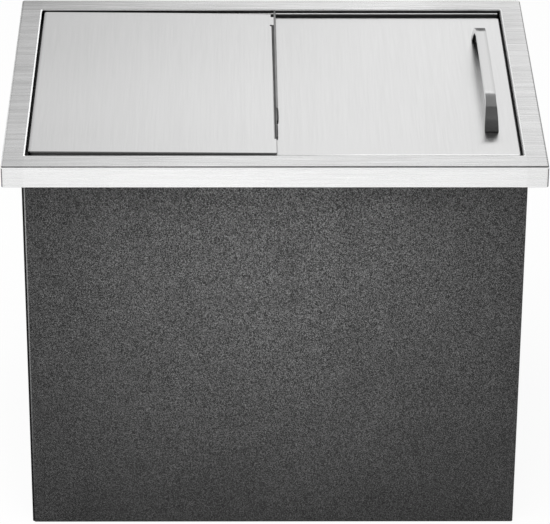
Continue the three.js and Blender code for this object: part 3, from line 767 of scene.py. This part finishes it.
def map_grain(mesh, along):
    """Writes the grain map: U across the grain, V along it. along is X or Y on level faces."""
    layer = mesh.uv_layers.new(name="grain")
    across_and_along = {
        "X": {2: (1, 0), 1: (2, 0), 0: (1, 2)},
        "Y": {2: (0, 1), 0: (2, 1), 1: (0, 2)},
    }[along]
    for face in mesh.polygons:
        facing = max(range(3), key=lambda axis: abs(face.normal[axis]))
        across, length = across_and_along[facing]
        for loop in face.loop_indices:
            place = mesh.vertices[mesh.loops[loop].vertex_index].co
            layer.data[loop].uv = (place[across], place[length])


def finished(name, bm, body, replaced, along="X", smoothing=SHEET_SMOOTHING, material=None):
    """Turns a bmesh into a piece that rides on a body and stands for a CAD node."""
    slot = SLOT_OF[replaced]
    piece = object_of(name, bm)
    mesh = piece.data
    mesh.shade_smooth()
    mesh.set_sharp_from_angle(angle=smoothing)
    map_grain(mesh, along)
    mesh.materials.append(MATERIALS[material or slot])
    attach(piece, body)
    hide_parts(replaced)


def rim_frame():
    """One folded sheet with a skirt and hem outside, and a recess and ledge inside."""
    low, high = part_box("rim_frame")
    half_x, half_y, top, hem = high.x, high.y, high.z, low.z
    ledge_top = top - RECESS_DROP
    recess_x, recess_y = recess_walls()

    def outer(inset, z):
        return rounded(half_x - inset, half_y - inset, z, SKIRT_CORNER - inset)

    def inner(offset, z, radius=None):
        corner = RECESS_CORNER + offset if radius is None else radius
        wider, deeper = RECESS_LEFT_EXTRA / 2, RECESS_FRONT_EXTRA / 2
        ring_x, ring_y = recess_x + offset + wider, recess_y + offset + deeper
        return rounded(ring_x, ring_y, z, corner, (-wider, -deeper))

    levels = [inner(0, ledge_top + FLAT_MARGIN), inner(0, top - RECESS_BEND - FLAT_MARGIN)]
    levels += [inner(inset, top - drop) for inset, drop in reversed(bend_down(RECESS_BEND))]
    levels += [inner(RECESS_BEND + FLAT_MARGIN, top), outer(SKIRT_BEND + FLAT_MARGIN, top)]
    levels += [outer(inset, top - drop) for inset, drop in bend_down(SKIRT_BEND)]
    levels += [outer(0, top - SKIRT_BEND - FLAT_MARGIN), outer(0, hem + HEM_BEND + FLAT_MARGIN)]
    levels += [outer(inset, hem + drop) for inset, drop in reversed(bend_down(HEM_BEND))]
    levels += [
        outer(HEM_WIDTH, hem),
        outer(HEM_WIDTH, hem + RIM_SHEET),
        outer(RIM_SHEET, hem + RIM_SHEET),
        outer(RIM_SHEET, top - RIM_SHEET),
        inner(RIM_SHEET, top - RIM_SHEET),
        inner(RIM_SHEET, ledge_top - RIM_SHEET),
        inner(-LEDGE_WIDTH, ledge_top - RIM_SHEET, LEDGE_CORNER),
        inner(-LEDGE_WIDTH, ledge_top, LEDGE_CORNER),
        inner(0, ledge_top),
    ]
    finished("rim_frame_sheet", lofted(levels, closed=True), "bin", "rim_frame")


def lid_pan(low, high, top, slope=0.0):
    """A flat sheet with downturned edges. slope lowers its top towards +X."""
    centre = ((low[0] + high[0]) / 2, (low[1] + high[1]) / 2)
    half_x, half_y = (high[0] - low[0]) / 2, (high[1] - low[1]) / 2
    bottom = low[2]

    def at(inset, z, tilt):
        return rounded(half_x - inset, half_y - inset, z, LID_CORNER - inset, centre, tilt)

    levels = [at(LID_BEND + FLAT_MARGIN, top, slope)]
    levels += [at(inset, top - drop, slope) for inset, drop in bend_down(LID_BEND)]
    levels += [at(0, top - LID_BEND - FLAT_MARGIN, slope), at(0, bottom + FLAT_MARGIN, 0)]
    levels += [at(0, bottom, 0), at(LID_SHEET, bottom, 0), at(LID_SHEET, top - LID_SHEET, slope)]
    return lofted(levels)


def upper_lid():
    """A pan that falls towards the seam, with its edge there cut off and notched for the wiper."""
    low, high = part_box("upper_lid_panel")
    wiper_low, wiper_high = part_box("upper_lid_wiper")
    slope = UPPER_LID_FALL / recess_walls()[0]
    top = high.z + slope * (low.x + LID_BEND)
    over = 3 * MM
    pan = lid_pan(low, (SEAM_X + LID_CORNER, high.y), top, slope)
    flange_cut = (
        (SEAM_X, low.y - over, low.z - over),
        (SEAM_X + LID_CORNER + over, high.y + over, high.z + over),
    )
    notch = (
        (SEAM_X - WIPER_WIDTH - TRIM_GAP, wiper_low.y, low.z - over),
        (SEAM_X + over, wiper_high.y + WIPER_BACK_REACH, high.z + over),
    )
    corner_notch = (
        (SEAM_X - SEAM_NOTCH[0], high.y - SEAM_NOTCH[1], low.z - over),
        (SEAM_X + over, high.y + over, high.z + over),
    )
    bm = cut_away(pan, flange_cut, notch, corner_notch)
    finished("upper_lid_pan", bm, "upper_lid", "upper_lid_panel", "Y")


def strip(stations, bottom):
    """A skin along Y with a rounded top. Each station gives y, the least and greatest x, and the top."""
    rings = []
    for y, left, right, top in stations:
        radius = min((right - left) / 2, (top - bottom) / 2, 0.5 * MM)
        ring = [(left, y, bottom), (right, y, bottom)]
        for centre, start in ((right - radius, 0), (left + radius, 90)):
            for step in range(STRIP_STEPS + 1):
                angle = math.radians(start + step / STRIP_STEPS * 90)
                x = centre + radius * math.cos(angle)
                ring.append((x, y, top - radius * (1 - math.sin(angle))))
        rings.append(ring)
    return lofted(rings)


def tapered(start, end, left, right, top, bottom):
    """Stations of a stretch whose ends draw in and down."""
    length, middle = end - start, (left + right) / 2
    stations = []
    for along, share in ((0, 0.35), (0.06, 0.8), (0.2, 1), (0.8, 1), (0.94, 0.8), (1, 0.35)):
        half = (right - left) / 2 * share
        height = bottom + (top - bottom) * (0.6 + 0.4 * share)
        stations.append((start + length * along, middle - half, middle + half, height))
    return stations


def trim(name, stations, bottom, node="upper_lid_wiper", material=None):
    """A strip that rides on the upper lid."""
    finished(name, strip(stations, bottom), "upper_lid", node, "Y", material=material)


def wiper():
    """The black wiper strip in the upper lid's edge, with a hook at its back end."""
    low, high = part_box("upper_lid_wiper")
    left, right = SEAM_X - WIPER_WIDTH, SEAM_X - TRIM_GAP
    back, front = high.y + WIPER_BACK_REACH - TRIM_GAP, low.y + TRIM_GAP
    hook = left - WIPER_HOOK
    trim("wiper_body", [
        (y, left + share * WIPER_TAPER, right, high.z)
        for y, share in ((front, 1), (0, 0.8), (0.6 * back, 0.4), (back, 0))
    ], low.z)
    trim("wiper_hook", [
        (back - 3.4 * MM, left - 0.4 * MM, left, high.z + 0.6 * MM),
        (back - 1.6 * MM, hook, left, high.z + 0.8 * MM),
        (back, hook + 0.4 * MM, left, high.z + 0.6 * MM),
    ], high.z - 0.4 * MM)


def seam_shadow_trim():
    """The front stretch, where two black flaps and a tip stand in for the shadow along the seam, a thin grey
    tail past the front stands in for a shadow line, and the lip is thin.
    """
    low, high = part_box("upper_lid_edge_lip")
    front, back = low.y, LIP_MAIN_END - TRIM_GAP
    first = front + 5 * MM
    middle = (first + back) / 2
    shadow_look = ("upper_lid_wiper", "flap_black")
    lip_look = ("upper_lid_edge_lip", None)
    # Each row: name, start and end along Y, left and right of the seam, node and material
    for name, start, end, left, right, look in (
        ("wiper_flap_front", first, middle - FLAP_GAP / 2, 0.2 * MM, 2 * MM, shadow_look),
        ("wiper_flap_back", middle + FLAP_GAP / 2, back, 0.7 * MM, 3 * MM, shadow_look),
        ("wiper_tip", front - 1 * MM, front + 2.5 * MM, -1.1 * MM, 0.4 * MM, shadow_look),
        ("edge_lip_front", front + 3 * MM, back, TRIM_GAP, 0.9 * MM, lip_look),
        ("edge_lip_tail", front - 31 * MM, front - 2 * MM, TRIM_GAP, 0.6 * MM, lip_look),
    ):
        stretch = tapered(start, end, SEAM_X + left, SEAM_X + right, high.z, low.z)
        trim(name, stretch, low.z, *look)


def edge_lip():
    """The grey edge lip, whose back end turns up against the rim."""
    low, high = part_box("upper_lid_edge_lip")
    rim_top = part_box("rim_frame")[1].z
    left, right = SEAM_X + TRIM_GAP, SEAM_X + LIP_WIDTH
    stations = [(y, left, right, high.z) for y in (LIP_MAIN_END, high.y - 3 * MM)]
    for share in (0.25, 0.5, 0.75, 1.0):
        lift = (rim_top - high.z - 0.2 * MM) * share ** 1.5
        stations.append((high.y + 1.4 * MM * share, left + 0.3 * MM * share, right - 0.2 * MM, high.z + lift))
    trim("edge_lip_main", stations, low.z, "upper_lid_edge_lip")


def lower_lid():
    low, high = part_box("lower_lid_panel")
    bm = lid_pan(low, high, high.z)
    finished("lower_lid_pan", bm, "lower_lid", "lower_lid_panel", "Y", material="highlit_lid_steel")


def chain(points, setbacks):
    """A line through points whose middle corners are rounded, each from its setback before to after."""
    line = [points[0]]
    for before, corner, after, setback in zip(points, points[1:], points[2:], setbacks):
        enter = corner + (before - corner).normalized() * min(setback, (before - corner).length * 0.45)
        leave = corner + (after - corner).normalized() * min(setback, (after - corner).length * 0.45)
        for step in range(FOLD_STEPS + 1):
            t = step / FOLD_STEPS
            line.append((1 - t) ** 2 * enter + 2 * t * (1 - t) * corner + t ** 2 * leave)
    line.append(points[-1])
    return line


def evenly(line, count):
    """Splits each stretch of a line into count pieces."""
    dense = []
    for start, end in zip(line, line[1:]):
        dense += [start.lerp(end, step / count) for step in range(count)]
    return dense + [line[-1]]


def handle_lines(half, height):
    """The bow's outer and inner line from foot to foot, along and up, and the direction of its leg."""
    under, top_y = height - HANDLE_THICKNESS, half - HANDLE_TOP_SETBACK
    foot = Vector((half, 0))
    shoulder = Vector((half - HANDLE_SHOULDER_SETBACK, height - HANDLE_SHOULDER_DROP))
    leg = (shoulder - foot).normalized()
    outwards = Vector((leg.y, -leg.x))
    bulge = outwards * HANDLE_LEG_BOW
    toe = Vector((half - HANDLE_TOE, 0))
    heel = Vector((half - HANDLE_TOE * 0.3, HANDLE_TOE))
    bow = foot.lerp(shoulder, HANDLE_BOW_SHARE) + bulge
    outer = [toe, heel, bow, shoulder, Vector((top_y, height)), Vector((0, height))]
    inner_foot = Vector((half - HANDLE_FOOT_LENGTH, 0))
    inner_bow = inner_foot.lerp(shoulder - outwards * HANDLE_THICKNESS, HANDLE_BOW_SHARE) + bulge
    off_slope = Vector((0.3, 1)).normalized()
    inner_shoulder = shoulder - (outwards + off_slope).normalized() * HANDLE_THICKNESS
    inner_fold = Vector((top_y - HANDLE_THICKNESS / 2, under))
    inner = [inner_foot, inner_foot.lerp(inner_bow, 0.2), inner_bow, inner_shoulder, inner_fold]
    inner.append(Vector((0, under)))
    setbacks = (HANDLE_TOE, HANDLE_BOW_ROUND, HANDLE_SHOULDER_ROUND, HANDLE_FOLD_SETBACK)
    lines = []
    for points in (outer, inner):
        line = evenly(chain(points, setbacks), 2)
        lines.append(line + [Vector((-p.x, p.y)) for p in reversed(line[:-1])])
    return *lines, leg


def bow_handle():
    low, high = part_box("handle")
    middle_x = (low.x + high.x) / 2 + HANDLE_WAIST_SHIFT
    middle_y = (low.y + high.y) / 2
    half = (high.y - low.y) / 2
    foot_half = (high.x - low.x) / 2 - HANDLE_WAIST_SHIFT
    waist_half = HANDLE_WAIST_WIDTH / 2
    outer_line, inner_line, leg = handle_lines(half, high.z - low.z)

    def at(point, side):
        """A point of the bow on its left or right side, which flares towards the feet."""
        share = max(0, (abs(point.x) - (half - HANDLE_FLARE_LENGTH)) / HANDLE_FLARE_LENGTH)
        width = waist_half + (foot_half - waist_half) * share * share * (3 - 2 * share)
        return (middle_x + side * width, middle_y + point.x, low.z + point.y)

    bm = lofted([
        [at(out, -1), at(out, 1), at(into, 1), at(into, -1)]
        for out, into in zip(outer_line, inner_line)
    ])
    long_edges = [
        edge for edge in bm.edges
        if edge.calc_face_angle(0) > math.radians(50) and edge.verts[0].co.y != edge.verts[1].co.y
    ]
    bmesh.ops.bevel(bm, geom=long_edges, offset=HANDLE_EDGE, segments=4, profile=0.5,
                    affect="EDGES", clamp_overlap=True)
    finished("handle_bow", bm, "lower_lid", "handle", "Y", HANDLE_SMOOTHING)
    handle_bosses(low.z, abs(leg.y / leg.x))


def handle_bosses(bottom, steepness):
    """A round boss inside each foot, which takes the screw, with a top that follows the leg."""
    for end in ("front", "back"):
        screw_low, screw_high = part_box(f"handle_screw_{end}")
        centre = (screw_low + screw_high) / 2
        side = math.copysign(1, centre.y)
        foot, top = [], []
        for step in range(BOSS_STEPS):
            angle = step / BOSS_STEPS * math.tau
            x = centre.x + HANDLE_BOSS_RADIUS * math.cos(angle)
            y = centre.y + HANDLE_BOSS_RADIUS * math.sin(angle)
            foot.append((x, y, bottom))
            top.append((x, y, bottom + HANDLE_BOSS_MIDDLE - side * (y - centre.y) * steepness))
        boss = lofted([foot, top])
        finished(f"handle_boss_{end}", boss, "lower_lid", "handle", "Y", HANDLE_SMOOTHING)


def from_node(node, body, material=None):
    """A CAD solid that keeps its shape and gets softened edges."""
    bm = bmesh.new()
    bm.from_mesh(nodes[node].data)
    soften(bm)
    finished(f"{node}_finished", bm, body, node, material=material)


# Stage: a pale floor, cards that only show in the steel, and the light
def floor_paper():
    bm = bmesh.new()
    bmesh.ops.create_grid(bm, x_segments=1, y_segments=1, size=14)
    floor = object_of("floor", bm)
    material, tree = new_material("floor_paper")
    paper = tree.add("ShaderNodeBsdfPrincipled", {
        "Base Color": tree.mix(tree.noise(tree.place(), 30, 2), grey(0.88), grey(0.92)),
        "Roughness": 0.9,
        "Specular IOR Level": 0.2,
    })
    white = tree.add("ShaderNodeEmission", {"Color": grey(1), "Strength": 1.0})
    path = tree.add("ShaderNodeLightPath").outputs
    seen = tree.math("MAXIMUM", path["Is Camera Ray"], path["Is Transmission Ray"])
    shader = tree.add("ShaderNodeMixShader", {
        0: tree.times(seen, FLOOR_WHITENESS),
        1: paper.outputs["BSDF"],
        2: white.outputs["Emission"],
    })
    tree.surface(shader.outputs["Shader"])
    floor.data.materials.append(material)


def hidden_card(name, corners, paint, clear):
    """A glowing card that only shows in glossy surfaces. paint gives its strength from the place on it.

    A clear card adds its glow to what lies behind it.
    """
    bm = bmesh.new()
    bm.faces.new([bm.verts.new(corner) for corner in corners])
    card = object_of(name, bm)
    material, tree = new_material(name)
    strength = paint(tree, tree.axes(tree.place()))
    shader = tree.add("ShaderNodeEmission", {"Color": grey(1), "Strength": strength}).outputs["Emission"]
    if clear:
        through = tree.add("ShaderNodeBsdfTransparent").outputs["BSDF"]
        shader = tree.add("ShaderNodeAddShader", {0: shader, 1: through}).outputs["Shader"]
    tree.surface(shader)
    card.data.materials.append(material)
    card.visible_camera = False
    card.visible_diffuse = False
    card.visible_shadow = False
    card.visible_transmission = False


def back_softbox():
    """A card behind the bin, which the level steel shows in its upper part and the handle in its lower.

    In front view the rim and the lids show heights of 0.93 to 0.97 at their backs and about 1.1 at
    their fronts. The steep legs of the handle show the strip below 0.8.
    """
    left, right, bottom, top, y = -1.7, 1.7, 0.12, 1.75, 1.1

    def paint(tree, axes):
        x, z = axes[0], axes[2]
        leaning = tree.math("MULTIPLY_ADD", tree.math("SUBTRACT", z, 1.1), 0.5, x)
        upper = tree.spread(leaning, -0.8, 0.05, 0.46, 1.03)
        upper = tree.times(upper, tree.spread(z, 1.3, 1.45, 1.0, 1.25), tree.spread(x, 0.6, 0.9, 1.0, 0.5))
        seen_at_back = tree.times(tree.spread(z, 0.93, 0.97), tree.spread(z, 1.04, 1.1, 1.0, 0.0))
        gain = tree.times(seen_at_back, tree.spread(x, -0.03, 0.06, 0.06, 0.0))
        upper = tree.math("MULTIPLY_ADD", upper, gain, upper)
        seen_in_front = tree.times(tree.spread(z, 1.05, 1.12), tree.spread(z, 1.14, 1.18, 1.0, 0.0))
        loss = tree.times(seen_in_front, tree.spread(x, -0.25, -0.05, 0.0, -0.035))
        upper = tree.math("MULTIPLY_ADD", upper, loss, upper)
        far_left = tree.spread(x, -0.85, -0.65, 1.1, 0.0)
        upper = tree.math("MAXIMUM", upper, far_left)
        lower = tree.math("MAXIMUM", tree.spread(x, -0.3, -0.1, 0.25, 1.15), far_left)
        from_handle = tree.math("ABSOLUTE", tree.math("SUBTRACT", x, 0.31))
        lower = tree.times(lower, tree.spread(from_handle, 0.04, 0.1, 0.1, 1.0))
        lower = tree.times(lower, tree.spread(x, 0.5, 0.65, 1.0, 0.3))
        return tree.blend(tree.spread(z, 0.7, 0.8), lower, upper)

    corners = [(left, y, bottom), (right, y, bottom), (right, y, top), (left, y, top)]
    hidden_card("back_softbox", corners, paint, clear=False)


def top_card():
    """A low card over the upper lid, so that the steel isn't black from above."""
    left, right, front, back, z = -0.6, 0.06, -0.4, 0.35, 1.02

    def paint(tree, axes):
        across = tree.spread(axes[0], right - 0.25, right, 0.6, 0.0, True)
        return tree.times(across, tree.spread(axes[1], back - 0.3, back, 1.0, 0.0, True))

    corners = [(left, front, z), (right, front, z), (right, back, z), (left, back, z)]
    hidden_card("top_card", corners, paint, clear=True)


def area_lamp(name, place, aim, size, watts):
    """A lamp that lights the bin but doesn't show in it."""
    data = bpy.data.lights.new(name, "AREA")
    data.shape = "RECTANGLE"
    data.size, data.size_y = size
    data.energy = watts
    lamp = bpy.data.objects.new(name, data)
    bpy.context.scene.collection.objects.link(lamp)
    lamp.location = place
    lamp.rotation_mode = "QUATERNION"
    lamp.rotation_quaternion = (Vector(aim) - Vector(place)).to_track_quat("-Z", "Y")
    lamp.visible_glossy = False
    lamp.visible_camera = False


def studio_light():
    """A room that is white to the camera, even to dull surfaces and banded to shiny ones, and two lamps."""
    world = bpy.data.worlds.new("studio")
    bpy.context.scene.world = world
    tree = Tree(world)
    axes = tree.axes(tree.add("ShaderNodeTexCoord").outputs["Generated"])
    path = tree.add("ShaderNodeLightPath").outputs
    over = tree.math("DIVIDE", tree.math("ARCTAN2", axes[2], axes[1]), math.pi)
    ramp = tree.add("ShaderNodeValToRGB", {0: tree.math("ABSOLUTE", over)})
    stops = ramp.color_ramp.elements
    for index, (angle, strength) in enumerate(ROOM):
        stop = stops[index] if index < 2 else stops.new(angle / 180)
        stop.position = angle / 180
        stop.color = grey(strength)
    sideways = tree.spread(axes[0], -0.8, 0.3, 0.65, 1.0, True)
    glossy = tree.times(ramp.outputs["Color"], sideways, path["Is Glossy Ray"])
    strength = tree.math("MULTIPLY_ADD", path["Is Diffuse Ray"], ROOM_DIFFUSE, glossy)
    for ray in ("Is Camera Ray", "Is Transmission Ray"):
        strength = tree.math("ADD", strength, path[ray])
    background = tree.add("ShaderNodeBackground", {"Color": grey(1), "Strength": strength})
    tree.add("ShaderNodeOutputWorld", {"Surface": background.outputs["Background"]})
    area_lamp("top_softbox", place=(-0.4, -0.6, 2.6), aim=(0, 0, 0.3), size=(2.4, 2.4), watts=55)
    area_lamp("front_softbox", place=(0.0, -1.05, 0.75), aim=(0, -1.0, 0), size=(0.7, 0.4), watts=2.6)


make_camera()
rim_frame()
upper_lid()
wiper()
seam_shadow_trim()
edge_lip()
lower_lid()
bow_handle()
for node in ("rail_back", "rail_front"):
    from_node(node, "bin", material="rail_steel")
for node in ("liner", "casing_front_right", "casing_back_left", "casing_base", "drain_flange",
             "drain_lock_nut"):
    from_node(node, "bin")
from_node("drain_plug", "drain_plug")
for name, node in nodes.items():
    slot = SLOT_OF[name]
    node.data.materials.clear()
    node.data.materials.append(MATERIALS[slot])
floor_paper()
back_softbox()
top_card()
studio_light()
bpy.context.scene.view_settings.view_transform = "Standard"
